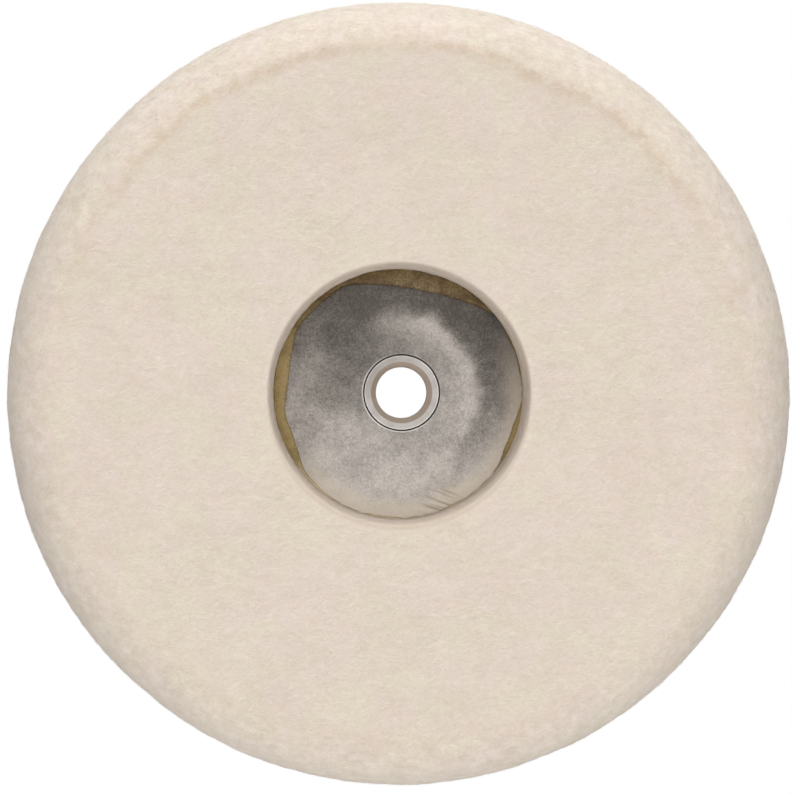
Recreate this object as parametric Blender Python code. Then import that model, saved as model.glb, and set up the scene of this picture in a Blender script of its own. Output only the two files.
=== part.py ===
"""Felt polishing wheel for an angle polisher.

A pressed wool disc is glued to a steel backing plate. A threaded hub goes through the
plate, and its front end is swaged over to rivet it there. Nothing moves inside the
wheel: it turns as one with the machine's spindle, which screws in from behind.

Metres, +Z up. The wheel turns about the Y axis and its polishing face looks along -Y. The
origin is on that axis, in the hub's rear face, where the spindle's shoulder seats.
"""

import math

import bmesh
import bpy
from mathutils import Vector

MM = 0.001

# Pieces that touch on the real wheel stand this far apart here.
CONTACT_GAP = 0.3 * MM

# Felt disc: a 7 inch wheel, 1 inch thick.
FELT_DIAMETER = 178 * MM
FELT_THICKNESS = 25 * MM
RECESS_DIAMETER = 57.4 * MM
RECESS_LIP_RADIUS = 1.2 * MM
FRONT_EDGE_WIDTH = 11 * MM
FRONT_EDGE_DEPTH = 13 * MM
BACK_EDGE_RADIUS = 5 * MM
# The felt is glued on by hand, so it sits this far off the hub's axis.
FELT_OFFSET_X = -0.78 * MM
FELT_OFFSET_Z = -0.23 * MM

# Backing plate.
PLATE_DIAMETER = 130 * MM
PLATE_THICKNESS = 2 * MM
PLATE_EDGE_RADIUS = 0.5 * MM

# Cured glue between them, and what was squeezed out into the recess.
GLUE_THICKNESS = 0.4 * MM
GLUE_EDGE_MARGIN = 2 * MM
GLUE_SETBACK = 1 * MM
# Each lobe: where it is round the recess (degrees from +X towards +Z), half of its
# spread (degrees), and how far it reaches out of the felt.
GLUE_LOBES = (
    (81, 40, 4.4 * MM),
    (135, 32, 1.3 * MM),
    (174, 28, 3.2 * MM),
    (203, 19, 2.7 * MM),
    (225, 14, 0.6 * MM),
    (341, 18, 1.3 * MM),
)

# Hub: the thread is ISO metric M14 x 2, right-handed.
THREAD_MAJOR = 14 * MM
THREAD_PITCH = 2 * MM
THREAD_START_ANGLE = math.radians(-51)
SPIGOT_WALL = 1.52 * MM
SPIGOT_PROUD = 0.4 * MM
SPIGOT_EDGE_RADIUS = 0.3 * MM
FRONT_FLAT_WIDTH = 0.15 * MM
FLANGE_STEP = 5 * MM
FLANGE_THICKNESS = 3 * MM
BOSS_WALL = 4 * MM
BOSS_LENGTH = 9 * MM
HUB_EDGE_CHAMFER = 0.5 * MM
SPANNER_FLAT_DEPTH = 1.5 * MM
SPANNER_FLAT_LENGTH = 7 * MM
COUNTERSINK_ANGLE = math.radians(120)
REAR_COUNTERSINK_WIDTH = 0.5 * MM

# How finely the round pieces are faceted.
FELT_SEGMENTS = 96
PLATE_SEGMENTS = 72
HUB_SEGMENTS = 48
GLUE_SEGMENTS = 120

# Sizes that follow from the ones above.
recess_radius = RECESS_DIAMETER / 2
plate_radius = PLATE_DIAMETER / 2
thread_root_radius = THREAD_MAJOR / 2
# An ISO internal thread is 5/8 of the full triangle's height deep.
thread_height = THREAD_PITCH * math.sqrt(3) / 2
bore_radius = thread_root_radius - thread_height * 5 / 8
spigot_radius = thread_root_radius + SPIGOT_WALL
plate_hole_radius = spigot_radius + CONTACT_GAP
boss_radius = thread_root_radius + BOSS_WALL
flange_radius = boss_radius + FLANGE_STEP

# Places along the axis, from the hub's rear face forward to the polishing face.
seat_y = 0
flange_back_y = seat_y - BOSS_LENGTH
flange_front_y = flange_back_y - FLANGE_THICKNESS
plate_back_y = flange_front_y - CONTACT_GAP
plate_front_y = plate_back_y - PLATE_THICKNESS
spigot_front_y = plate_front_y - SPIGOT_PROUD
glue_back_y = plate_front_y - CONTACT_GAP
glue_front_y = glue_back_y - GLUE_THICKNESS
felt_back_y = glue_front_y - CONTACT_GAP
face_y = felt_back_y - FELT_THICKNESS


def clear_scene():
    for obj in list(bpy.data.objects):
        bpy.data.objects.remove(obj)


def material(name, colour, roughness, metallic):
    made = bpy.data.materials.new(name)
    made.use_nodes = True
    shader = made.node_tree.nodes["Principled BSDF"]
    shader.inputs["Base Color"].default_value = (*colour, 1)
    shader.inputs["Roughness"].default_value = roughness
    shader.inputs["Metallic"].default_value = metallic
    return made


def arc(centre, half_width, half_height, start, end, steps):
    """Points on an ellipse's arc, as (radius from the axis, place along it)."""
    turns = [math.radians(start + (end - start) * i / steps) for i in range(steps + 1)]
    return [
        (centre[0] + half_width * math.cos(t), centre[1] + half_height * math.sin(t))
        for t in turns
    ]


def add_object(name, mesh_builder, finish):
    """A smooth-shaded object with sharp edges where its faces really turn."""
    bmesh.ops.recalc_face_normals(mesh_builder, faces=mesh_builder.faces)
    mesh = bpy.data.meshes.new(name)
    mesh_builder.to_mesh(mesh)
    mesh_builder.free()
    mesh.shade_smooth()
    mesh.set_sharp_from_angle(angle=math.radians(30))
    if finish:
        mesh.materials.append(finish)
    obj = bpy.data.objects.new(name, mesh)
    bpy.context.scene.collection.objects.link(obj)
    return obj


def turned(name, outline, segments, finish):
    """A ring turned about the Y axis from a closed outline of (radius, y) points."""
    bm = bmesh.new()
    points = [bm.verts.new((radius, y, 0)) for radius, y in outline]
    edges = [bm.edges.new((a, b)) for a, b in zip(points, points[1:] + points[:1])]
    bmesh.ops.spin(
        bm,
        geom=points + edges,
        cent=(0, 0, 0),
        axis=(0, 1, 0),
        angle=math.tau,
        steps=segments,
        use_merge=True,
    )
    return add_object(name, bm, finish)


def cut(obj, cutter, name):
    """Takes the cutter's shape out of the object, and keeps the cutter as a guide."""
    cutter.hide_render = True
    cutter.display_type = "WIRE"
    modifier = obj.modifiers.new(name, "BOOLEAN")
    modifier.operation = "DIFFERENCE"
    modifier.solver = "EXACT"
    modifier.object = cutter


def felt_disc(finish):
    """Pressed wool ring: flat polishing face, broadly rounded front edge."""
    outer = FELT_DIAMETER / 2
    back_centre = (outer - BACK_EDGE_RADIUS, felt_back_y - BACK_EDGE_RADIUS)
    lip_centre = (recess_radius + RECESS_LIP_RADIUS, face_y + RECESS_LIP_RADIUS)
    front_centre = (outer - FRONT_EDGE_WIDTH, face_y + FRONT_EDGE_DEPTH)
    outline = arc(front_centre, FRONT_EDGE_WIDTH, FRONT_EDGE_DEPTH, -90, 0, 8)
    outline += arc(back_centre, BACK_EDGE_RADIUS, BACK_EDGE_RADIUS, 0, 90, 4)
    outline.append((recess_radius, felt_back_y))
    outline += arc(lip_centre, RECESS_LIP_RADIUS, RECESS_LIP_RADIUS, 180, 270, 3)
    felt = turned("felt_disc", outline, FELT_SEGMENTS, finish)
    felt.location = (FELT_OFFSET_X, 0, FELT_OFFSET_Z)
    return felt


def backing_plate(finish):
    """Steel disc with a punched hole that the hub's spigot fills."""
    rim = plate_radius - PLATE_EDGE_RADIUS
    hole_rim = plate_hole_radius + PLATE_EDGE_RADIUS / 2
    round_edge = (PLATE_EDGE_RADIUS, PLATE_EDGE_RADIUS)
    outline = [(hole_rim, plate_front_y)]
    outline += arc((rim, plate_front_y + PLATE_EDGE_RADIUS), *round_edge, -90, 0, 3)
    outline += arc((rim, plate_back_y - PLATE_EDGE_RADIUS), *round_edge, 0, 90, 3)
    outline.append((plate_hole_radius, plate_back_y))
    outline.append((plate_hole_radius, plate_front_y + PLATE_EDGE_RADIUS / 2))
    return turned("backing_plate", outline, PLATE_SEGMENTS, finish)


def glue_inner_radius(angle):
    """Where the glue ends: just behind the felt, or out in the recess at a lobe."""
    reach = -GLUE_SETBACK
    for centre, spread, lobe_reach in GLUE_LOBES:
        away = (math.degrees(angle) - centre + 180) % 360 - 180
        reach = max(reach, lobe_reach * (1 - (away / spread) ** 2))
    return recess_radius - reach


def edge_loop(bm, radius_at, segments, y):
    """A closed loop of edges round the axis, whose radius may change with the angle."""
    angles = [math.tau * i / segments for i in range(segments)]
    points = [
        bm.verts.new((radius_at(a) * math.cos(a), y, radius_at(a) * math.sin(a)))
        for a in angles
    ]
    return [bm.edges.new((a, b)) for a, b in zip(points, points[1:] + points[:1])]


def adhesive_layer(finish):
    """Film of cured contact glue, with lobes where it crept out under the felt."""
    glue_rim = plate_radius - GLUE_EDGE_MARGIN
    bm = bmesh.new()
    inner = edge_loop(bm, glue_inner_radius, GLUE_SEGMENTS, glue_front_y)
    outer = edge_loop(bm, lambda _: glue_rim, GLUE_SEGMENTS, glue_front_y)
    front = bmesh.ops.bridge_loops(bm, edges=inner + outer)["faces"]
    made = bmesh.ops.extrude_face_region(bm, geom=front, use_keep_orig=True)["geom"]
    back = [item for item in made if isinstance(item, bmesh.types.BMVert)]
    bmesh.ops.translate(bm, vec=Vector((0, GLUE_THICKNESS, 0)), verts=back)
    glue = add_object("adhesive_layer", bm, finish)
    glue.location = (FELT_OFFSET_X, 0, FELT_OFFSET_Z)
    return glue


def thread_cutter():
    """The helical groove of the thread, run past both ends of the bore."""
    root_width = THREAD_PITCH / 8
    slope = math.tan(math.radians(30))
    inner_radius = bore_radius - CONTACT_GAP
    inner_width = root_width + 2 * (thread_root_radius - inner_radius) * slope
    run_out = 2 * THREAD_PITCH
    start_y = spigot_front_y - run_out
    turns = math.ceil((seat_y - spigot_front_y + 2 * run_out) / THREAD_PITCH)
    steps = turns * HUB_SEGMENTS
    bm = bmesh.new()
    corners = [
        (inner_radius, -inner_width / 2),
        (thread_root_radius, -root_width / 2),
        (thread_root_radius, root_width / 2),
        (inner_radius, inner_width / 2),
    ]
    section = bm.faces.new([bm.verts.new((r, start_y + y, 0)) for r, y in corners])
    bmesh.ops.spin(
        bm,
        geom=[section],
        cent=(0, 0, 0),
        axis=(0, 1, 0),
        dvec=(0, THREAD_PITCH / HUB_SEGMENTS, 0),
        angle=math.tau * turns,
        steps=steps,
    )
    cutter = add_object("thread_cutter", bm, None)
    cutter.rotation_euler.y = THREAD_START_ANGLE
    return cutter


def spanner_cutter(side):
    """A block that leaves one spanner flat on the boss. Side is +1 or -1 along X."""
    width = 2 * boss_radius
    bm = bmesh.new()
    bmesh.ops.create_cube(bm, size=1)
    bmesh.ops.scale(bm, vec=(width, SPANNER_FLAT_LENGTH + width, 2 * width), verts=bm.verts)
    middle_x = side * (boss_radius - SPANNER_FLAT_DEPTH + width / 2)
    middle_y = seat_y + width / 2 - SPANNER_FLAT_LENGTH / 2
    bmesh.ops.translate(bm, vec=Vector((middle_x, middle_y, 0)), verts=bm.verts)
    return add_object(f"spanner_cutter_{'right' if side > 0 else 'left'}", bm, None)


def threaded_hub(finish):
    """Turned steel bush: spigot through the plate, flange behind it, boss with flats."""
    chamfer = HUB_EDGE_CHAMFER
    sink_slope = 1 / math.tan(COUNTERSINK_ANGLE / 2)
    front_sink_radius = spigot_radius - SPIGOT_EDGE_RADIUS - FRONT_FLAT_WIDTH
    rear_sink_radius = thread_root_radius + REAR_COUNTERSINK_WIDTH
    spigot_edge = (spigot_radius - SPIGOT_EDGE_RADIUS, spigot_front_y + SPIGOT_EDGE_RADIUS)
    front_sink_depth = (front_sink_radius - bore_radius) * sink_slope
    rear_sink_depth = (rear_sink_radius - bore_radius) * sink_slope
    outline = [(front_sink_radius, spigot_front_y)]
    outline += arc(spigot_edge, SPIGOT_EDGE_RADIUS, SPIGOT_EDGE_RADIUS, -90, 0, 3)
    outline += [
        (spigot_radius, flange_front_y),
        (flange_radius - chamfer, flange_front_y),
        (flange_radius, flange_front_y + chamfer),
        (flange_radius, flange_back_y - chamfer),
        (flange_radius - chamfer, flange_back_y),
        (boss_radius, flange_back_y),
        (boss_radius, seat_y - chamfer),
        (boss_radius - chamfer, seat_y),
        (rear_sink_radius, seat_y),
        (bore_radius, seat_y - rear_sink_depth),
        (bore_radius, spigot_front_y + front_sink_depth),
    ]
    hub = turned("threaded_hub", outline, HUB_SEGMENTS, finish)
    cut(hub, thread_cutter(), "thread")
    cut(hub, spanner_cutter(1), "right flat")
    cut(hub, spanner_cutter(-1), "left flat")
    return hub


def build():
    clear_scene()
    felt_disc(material("felt", (0.77, 0.67, 0.56), 0.95, 0))
    adhesive_layer(material("adhesive", (0.26, 0.20, 0.09), 0.35, 0))
    backing_plate(material("plate_steel", (0.38, 0.36, 0.34), 0.45, 1))
    threaded_hub(material("hub_steel", (0.62, 0.60, 0.58), 0.3, 1))


build()
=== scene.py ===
# %% [markdown]
# # A felt polishing wheel
#
# The wheel is a thick disc of pressed wool, glued to a sheet steel plate. A steel hub is
# riveted into the plate, and a machine's spindle screws into it from behind. The design
# model fixes every size and place. This lesson builds the surfaces that a viewer sees:
# felt with loose fibres, squeezed-out glue, tarnished steel and a turned, threaded hub.
#
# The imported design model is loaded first. It is in metres, +Z is up, and the wheel turns
# about the Y axis with its polishing face towards -Y.

# %% Load the design model and keep its size
import math
import random

import bmesh
import bpy
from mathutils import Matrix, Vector, noise
from mathutils.bvhtree import BVHTree


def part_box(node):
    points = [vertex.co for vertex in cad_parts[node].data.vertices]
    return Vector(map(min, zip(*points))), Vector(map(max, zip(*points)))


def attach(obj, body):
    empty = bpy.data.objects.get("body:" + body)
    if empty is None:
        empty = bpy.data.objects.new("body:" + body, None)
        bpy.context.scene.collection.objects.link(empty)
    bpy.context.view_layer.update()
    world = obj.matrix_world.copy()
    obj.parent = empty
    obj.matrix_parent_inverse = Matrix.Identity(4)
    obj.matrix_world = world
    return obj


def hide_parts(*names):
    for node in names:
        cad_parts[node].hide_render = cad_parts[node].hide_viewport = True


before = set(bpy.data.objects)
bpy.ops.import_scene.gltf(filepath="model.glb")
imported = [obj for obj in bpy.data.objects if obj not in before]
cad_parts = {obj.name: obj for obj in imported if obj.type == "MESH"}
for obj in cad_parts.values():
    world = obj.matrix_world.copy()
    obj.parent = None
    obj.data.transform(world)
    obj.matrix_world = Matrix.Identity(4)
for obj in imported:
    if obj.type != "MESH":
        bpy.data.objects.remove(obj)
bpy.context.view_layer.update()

MM = 0.001
print("nodes:", sorted(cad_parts))

# %% [markdown]
# ## Read the sizes from the design
#
# Every piece here is round, so its design is a list of radii and of places along the
# axis. They could be typed in again, but then a change of the design would leave this
# script behind. They are read from the points of the design's nodes instead. The felt
# sits a little off the hub's axis, because it is glued on by hand.

# %% A helper that reads a round node, and the sizes that pieces share
HAIR = 0.02 * MM


def ring_points(node, axis_x=0.0, axis_z=0.0):
    """Each point of a design node, as (distance from the axis, place along the axis)."""
    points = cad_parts[node].data.vertices
    return [(math.hypot(p.co.x - axis_x, p.co.z - axis_z), p.co.y) for p in points]


felt_low, felt_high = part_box("felt_disc")
felt_x = (felt_low.x + felt_high.x) / 2
felt_z = (felt_low.z + felt_high.z) / 2
felt_points = ring_points("felt_disc", felt_x, felt_z)
felt_radius = max(r for r, y in felt_points)
recess_radius = min(r for r, y in felt_points)
face_y = felt_low.y
felt_back_y = felt_high.y
plate_low, plate_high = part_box("backing_plate")
plate_front_y = plate_low.y
print("felt radius, recess radius:", round(felt_radius / MM, 2), round(recess_radius / MM, 2))
print("felt centre off the axis:", round(felt_x / MM, 2), round(felt_z / MM, 2))

# %% The felt's rounded edges, as the design has them
flat_radii = [r for r, y in felt_points if y < face_y + HAIR]
lip_width = min(flat_radii) - recess_radius
flat_radius = max(flat_radii)
edge_width = felt_radius - flat_radius
widest_y = min(y for r, y in felt_points if r > felt_radius - HAIR)
edge_depth = widest_y - face_y
back_flat_radius = max(r for r, y in felt_points if y > felt_back_y - HAIR)
back_edge = felt_radius - back_flat_radius
print("front edge, wide and deep:", round(edge_width / MM, 2), round(edge_depth / MM, 2))
print("back edge and recess lip:", round(back_edge / MM, 2), round(lip_width / MM, 2))

# %% [markdown]
# ## Working by hand, from code
#
# Operators act on whatever is selected. The design's nodes are still selected after
# loading, and a new primitive is selected all over. So each step clears the selection and
# then picks points or edges by their place. These helpers do only that. When a piece is
# done, its place goes into its mesh, so that patterns on object coordinates stay put.

# %% Helpers for selecting and for finishing a step
def deselect_all():
    """Leaves edit mode and clears the selection."""
    if bpy.context.object and bpy.context.object.mode != "OBJECT":
        bpy.ops.object.mode_set(mode="OBJECT")
    bpy.ops.object.select_all(action="DESELECT")


def make_active(piece):
    """Selects one piece and nothing else."""
    deselect_all()
    piece.select_set(True)
    bpy.context.view_layer.objects.active = piece


def open_mesh(piece):
    """Goes into edit mode on one piece, with nothing in it selected."""
    make_active(piece)
    bpy.ops.object.mode_set(mode="EDIT")
    bpy.ops.mesh.select_mode(type="VERT")
    bpy.ops.mesh.select_all(action="DESELECT")


def pick_points(test):
    """In edit mode, selects the points whose place passes a test, and nothing else."""
    bpy.ops.mesh.select_mode(type="VERT")
    bpy.ops.mesh.select_all(action="DESELECT")
    mesh = bmesh.from_edit_mesh(bpy.context.object.data)
    for point in mesh.verts:
        point.select_set(bool(test(point.co)))
    mesh.select_flush(True)
    bmesh.update_edit_mesh(bpy.context.object.data)


def pick_edges(test):
    """In edit mode, selects the edges whose middle and direction pass a test."""
    bpy.ops.mesh.select_mode(type="EDGE")
    bpy.ops.mesh.select_all(action="DESELECT")
    mesh = bmesh.from_edit_mesh(bpy.context.object.data)
    for edge in mesh.edges:
        a, b = (point.co for point in edge.verts)
        edge.select_set(bool(test((a + b) / 2, b - a)))
    mesh.select_flush(True)
    bmesh.update_edit_mesh(bpy.context.object.data)


def pick_faces(test):
    """In edit mode, selects the faces whose middle and normal pass a test."""
    bpy.ops.mesh.select_mode(type="FACE")
    bpy.ops.mesh.select_all(action="DESELECT")
    mesh = bmesh.from_edit_mesh(bpy.context.object.data)
    for face in mesh.faces:
        face.select_set(bool(test(face.calc_center_median(), face.normal)))
    mesh.select_flush(True)
    bmesh.update_edit_mesh(bpy.context.object.data)


def name_piece(piece, name):
    piece.name = name
    piece.data.name = name
    return piece


def settle(piece):
    """Puts a piece's place, turn and scale into its mesh."""
    make_active(piece)
    bpy.ops.object.transform_apply(location=True, rotation=True, scale=True)


def triangle_count(piece):
    return sum(len(face.vertices) - 2 for face in piece.data.polygons)


# %% [markdown]
# ## A ring from its cross-section
#
# Felt, glue and plate are rings. A ring could be cut from a cylinder, but its edges would
# then have to be rounded all the way round. It is easier to start from half of its
# cross-section: a flat rectangle whose corners are bevelled, like the corners of a card.
# The outline is divided where fine detail is wanted, and then spun about the axis.

# %% Helpers that make, round, divide and spin a cross-section
def cross_section(name, inner, outer, front, back):
    """Half of a ring's cross-section: a rectangle in the XY plane, from X = inner."""
    deselect_all()
    middle = ((inner + outer) / 2, (front + back) / 2, 0)
    bpy.ops.mesh.primitive_plane_add(size=1, location=middle)
    piece = name_piece(bpy.context.object, name)
    piece.scale = (outer - inner, back - front, 1)
    settle(piece)
    return piece


def round_corner(x, y, width, depth, segments, fullness=0.5):
    """Rounds one corner by bevelling it while it is squashed. Fullness 0.5 is an ellipse."""
    squash = width / depth
    bpy.ops.mesh.select_all(action="SELECT")
    bpy.ops.transform.resize(value=(1, squash, 1), center_override=(0, y, 0))
    pick_points(lambda p: abs(p.x - x) < HAIR and abs(p.y - y) < HAIR)
    bpy.ops.mesh.bevel(offset=width, segments=segments, profile=fullness, affect="VERTICES")
    bpy.ops.mesh.select_all(action="SELECT")
    bpy.ops.transform.resize(value=(1, 1 / squash, 1), center_override=(0, y, 0))


def divide_edges(test, spacing):
    """Divides the outline's long edges that pass a test, to about this spacing."""
    pick_edges(test)
    mesh = bmesh.from_edit_mesh(bpy.context.object.data)
    lengths = [edge.calc_length() for edge in mesh.edges if edge.select]
    cuts = round(max(lengths) / spacing) - 1
    bpy.ops.mesh.subdivide(number_cuts=cuts)


def spin_ring(piece, steps):
    """Spins the open outline about the Y axis and closes it into a solid ring."""
    bpy.ops.mesh.select_all(action="SELECT")
    bpy.ops.mesh.spin(
        steps=steps,
        angle=math.tau,
        center=(0, 0, 0),
        axis=(0, 1, 0),
        use_auto_merge=True,
    )
    bpy.ops.mesh.select_all(action="SELECT")
    bpy.ops.mesh.remove_doubles(threshold=HAIR / 10)
    bpy.ops.mesh.normals_make_consistent(inside=False)
    bpy.ops.object.mode_set(mode="OBJECT")
    print(piece.name, "triangles:", triangle_count(piece))


# %% [markdown]
# ## The felt disc
#
# The disc is cut from hard-pressed wool felt, about an inch thick. Its face is flat, its
# front edge is broadly rounded with a rasp, and the hole in its middle is punched. The
# outline is divided finely on the face and on the front edge, where the light grazes the
# wool, and coarsely on the back.

# %% Outline of the felt, rounded and divided
FACE_ROW = 0.55 * MM
WALL_ROW = 0.6 * MM
BACK_ROW = 1.6 * MM
SHOULDER_FULLNESS = 0.465
LIP_DEPTH = 6 * MM
EDGE_SEGMENTS = 36
BACK_SEGMENTS = 9
LIP_SEGMENTS = 12
LONG_EDGE = 3 * MM

felt = cross_section("felt_ring", recess_radius, felt_radius, face_y, felt_back_y)
open_mesh(felt)
round_corner(felt_radius, face_y, edge_width, edge_depth, EDGE_SEGMENTS, SHOULDER_FULLNESS)
round_corner(felt_radius, felt_back_y, back_edge, back_edge, BACK_SEGMENTS)
round_corner(recess_radius, face_y, lip_width, LIP_DEPTH, LIP_SEGMENTS)
bpy.ops.mesh.select_all(action="SELECT")
bpy.ops.mesh.delete(type="ONLY_FACE")
divide_edges(lambda m, d: abs(d.x) > LONG_EDGE and m.y < face_y + HAIR, FACE_ROW)
divide_edges(lambda m, d: abs(d.x) > LONG_EDGE and m.y > felt_back_y - HAIR, BACK_ROW)
divide_edges(lambda m, d: abs(d.y) > LONG_EDGE and m.x < recess_radius + HAIR, WALL_ROW)
divide_edges(lambda m, d: abs(d.y) > LONG_EDGE and m.x > felt_radius - HAIR, WALL_ROW)

# %% Spin the felt and move it to where it is glued
FELT_STEPS = 640

spin_ring(felt, FELT_STEPS)
felt.location = (felt_x, 0, felt_z)
settle(felt)

# %% [markdown]
# ### Uneven wool
#
# Pressed wool is never quite flat. The face keeps soft dents a centimetre or two across,
# and the rasped edge is lumpier, with small pits. Sculpting would do, but a Displace
# modifier with a cloud texture gives the same unevenness each time. A vertex group holds
# the lumps back on the pressed face and lets them grow on the rasped edge.

# %% Weight the rasped edge
def smooth_step(value, start, end):
    """0 before start, 1 after end, and a smooth change between them."""
    t = min(max((value - start) / (end - start), 0.0), 1.0)
    return t * t * (3 - 2 * t)


def from_felt_axis(point):
    return math.hypot(point.x - felt_x, point.z - felt_z)


EDGE_SHARES = 20
EDGE_WANDER = 2.5 * MM
EDGE_STARTS = flat_radius - 2 * MM
EDGE_FULL = flat_radius + 4 * MM
WANDERS_PER_METRE = 60

rasped = felt.vertex_groups.new(name="rasped_edge")
members = {share: [] for share in range(EDGE_SHARES + 1)}
for point in felt.data.vertices:
    wander = EDGE_WANDER * noise.noise(point.co * WANDERS_PER_METRE)
    edge = smooth_step(from_felt_axis(point.co) + wander, EDGE_STARTS, EDGE_FULL)
    members[round(edge * EDGE_SHARES)].append(point.index)
for share, indices in members.items():
    rasped.add(indices, share / EDGE_SHARES, "REPLACE")
print("points by weight:", [len(members[share]) for share in (0, EDGE_SHARES)])


# %% Displace the felt in four sizes of lump
def displace(piece, name, lump, depth, group=""):
    """Moves the surface in and out, with lumps of about one size."""
    texture = bpy.data.textures.new(name, "CLOUDS")
    texture.noise_scale = lump
    texture.noise_depth = 1
    modifier = piece.modifiers.new(name, "DISPLACE")
    modifier.texture = texture
    modifier.texture_coords = "LOCAL"
    modifier.strength = depth
    modifier.vertex_group = group
    make_active(piece)
    bpy.ops.object.modifier_apply(modifier=name)


# Each unevenness: its name, the size of one lump, its depth and where it grows.
UNEVENNESS = (
    ("pressing_dents", 16 * MM, 0.35 * MM, ""),
    ("face_lumps", 2.6 * MM, 0.06 * MM, ""),
    ("rasped_lumps", 5 * MM, 0.24 * MM, "rasped_edge"),
    ("rasped_pits", 1.7 * MM, 0.16 * MM, "rasped_edge"),
)
for name, lump, lump_depth, group in UNEVENNESS:
    displace(felt, name, lump, lump_depth, group)
make_active(felt)
bpy.ops.object.shade_smooth()
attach(felt, "root")
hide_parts("felt_disc")
displaced_radius = max(from_felt_axis(p.co) for p in felt.data.vertices)
print("felt radius after displacing:", round(displaced_radius / MM, 2))

# %% [markdown]
# ### Loose fibres
#
# Seen close, felt is a mat of single wool fibres, and a few thousand of them lie on top or
# stand off a little. Hair particles could make them, but they don't export as a plain
# mesh. Here each fibre is one short spline of a curve object with a round bevel, and the
# curve is then turned into a mesh. Each fibre wanders over the felt, and each of its
# points is dropped onto the nearest bit of surface.

# %% A helper that leads one fibre over the felt
felt_surface = BVHTree.FromPolygons(
    [point.co.copy() for point in felt.data.vertices],
    [tuple(face.vertices) for face in felt.data.polygons],
)
FIBRE_POINTS = 4
FIBRE_RADIUS = 0.018 * MM
SUNK_SHARE = 0.6
CARDED = 2.2
CURL = 0.5
MOSTLY_LOW = 4


def wander_fibre(start, rng, length, lift):
    """Points of one fibre: it runs over the felt, turning a little at each step."""
    place, normal = felt_surface.find_nearest(start)[:2]
    heading = Vector((rng.gauss(0, CARDED), rng.gauss(0, 1), rng.gauss(0, 1)))
    step = length / (FIBRE_POINTS - 1)
    points = []
    for i in range(FIBRE_POINTS):
        rise = FIBRE_RADIUS * SUNK_SHARE + lift * rng.random() ** MOSTLY_LOW
        points.append(place + normal * rise)
        heading += Vector((rng.gauss(0, CURL), rng.gauss(0, CURL), rng.gauss(0, CURL)))
        along = (heading - normal * heading.dot(normal)).normalized()
        place, normal = felt_surface.find_nearest(place + along * step)[:2]
    return points


# %% A helper that makes one mesh of many fibres
SHORTEST_SHARE = 0.35
THINNEST = 0.6
THICKEST = 1.25
TIP_SHARE = 0.55


def lay_fibres(name, count, seed, start_place, longest, lift):
    """One mesh of many loose fibres, each starting where start_place says."""
    rng = random.Random(seed)
    curve = bpy.data.curves.new(name, "CURVE")
    curve.dimensions = "3D"
    curve.bevel_depth = FIBRE_RADIUS
    curve.bevel_resolution = 0
    curve.use_fill_caps = True
    for _ in range(count):
        length = longest * rng.uniform(SHORTEST_SHARE, 1)
        spline = curve.splines.new("POLY")
        spline.points.add(FIBRE_POINTS - 1)
        thickness = rng.uniform(THINNEST, THICKEST)
        for i, place in enumerate(wander_fibre(start_place(rng), rng, length, lift)):
            spline.points[i].co = (*place, 1)
            at_tip = i in (0, FIBRE_POINTS - 1)
            spline.points[i].radius = thickness * (TIP_SHARE if at_tip else 1)
    piece = bpy.data.objects.new(name, curve)
    bpy.context.scene.collection.objects.link(piece)
    make_active(piece)
    bpy.ops.object.convert(target="MESH")
    piece = name_piece(bpy.context.object, name)
    bpy.ops.object.shade_smooth()
    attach(piece, "root")
    print(name, "fibres:", count, "triangles:", triangle_count(piece))
    return piece


# %% Fibres on the face, on the rasped edge and in the recess
FACE_LIFT = 0.08 * MM
EDGE_LIFT = 0.3 * MM
EDGE_LEANS = (-0.9, 1.0)


def on_felt_ring(radius, turn, y):
    """A place at this radius from the felt's axis."""
    return Vector((felt_x + radius * math.cos(turn), y, felt_z + radius * math.sin(turn)))


def place_on_face(rng):
    radius = math.sqrt(rng.uniform(recess_radius**2, felt_radius**2))
    turn = rng.uniform(0, math.tau)
    return on_felt_ring(radius, turn, face_y)


def place_on_edge(rng):
    lean = rng.uniform(*EDGE_LEANS)
    turn = rng.uniform(0, math.tau)
    radius = felt_radius - 2 * MM + 3 * MM * math.cos(lean)
    return on_felt_ring(radius, turn, widest_y + edge_depth * math.sin(lean))


def place_in_recess(rng):
    turn = rng.uniform(0, math.tau)
    y = rng.uniform(face_y, felt_back_y)
    return on_felt_ring(recess_radius, turn, y)


face_fibres = lay_fibres("felt_face_fibres", 7000, 11, place_on_face, 4 * MM, FACE_LIFT)
edge_fibres = lay_fibres("felt_edge_fibres", 7000, 12, place_on_edge, 3.5 * MM, EDGE_LIFT)
recess_fibres = lay_fibres("felt_recess_fibres", 1400, 13, place_in_recess, 3 * MM, EDGE_LIFT)

# %% [markdown]
# ## The backing plate
#
# The plate is a sheet steel blank with a punched hole. It shows at the bottom of the
# recess and over most of the back. It is spun like the felt. A slow displacement keeps
# it from being a perfect mirror plane, as sheet metal always dishes a little.

# %% Outline of the plate, spun and slightly dished
plate_points = ring_points("backing_plate")
plate_radius = max(r for r, y in plate_points)
hole_radius = min(r for r, y in plate_points)
plate_back_y = plate_high.y
PLATE_EDGE = 0.5 * MM
HOLE_EDGE = 0.15 * MM
PLATE_SEGMENTS = 4
PLATE_ROW = 1.5 * MM
PLATE_STEPS = 320

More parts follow.
